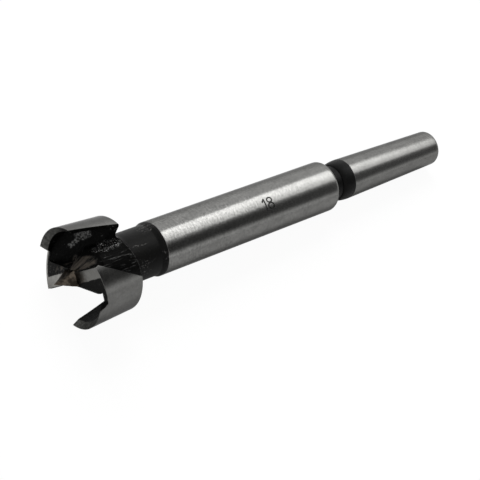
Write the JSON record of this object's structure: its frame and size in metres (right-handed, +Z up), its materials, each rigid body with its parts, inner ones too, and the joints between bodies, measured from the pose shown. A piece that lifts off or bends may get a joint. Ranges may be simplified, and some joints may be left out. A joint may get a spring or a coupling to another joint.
{
  "type": "forstner bit",
  "caption": "Forstner bit with ground lips, bevelled rims and a centre point, a plain round body and a reduced shank.",
  "frame": {"origin": "on the floor under the middle of the bit's box, with the bit lying on its side", "axes": "+X from the point towards the shank, +Z up"},
  "size_m": [0.0942, 0.018, 0.0167],
  "materials": {
    "ground_steel": "ground, with a black finish left in the throats and on both necks"
  },
  "bodies": {
    "root": {"forstner_bit": "ground_steel"}
  },
  "joints": []
}
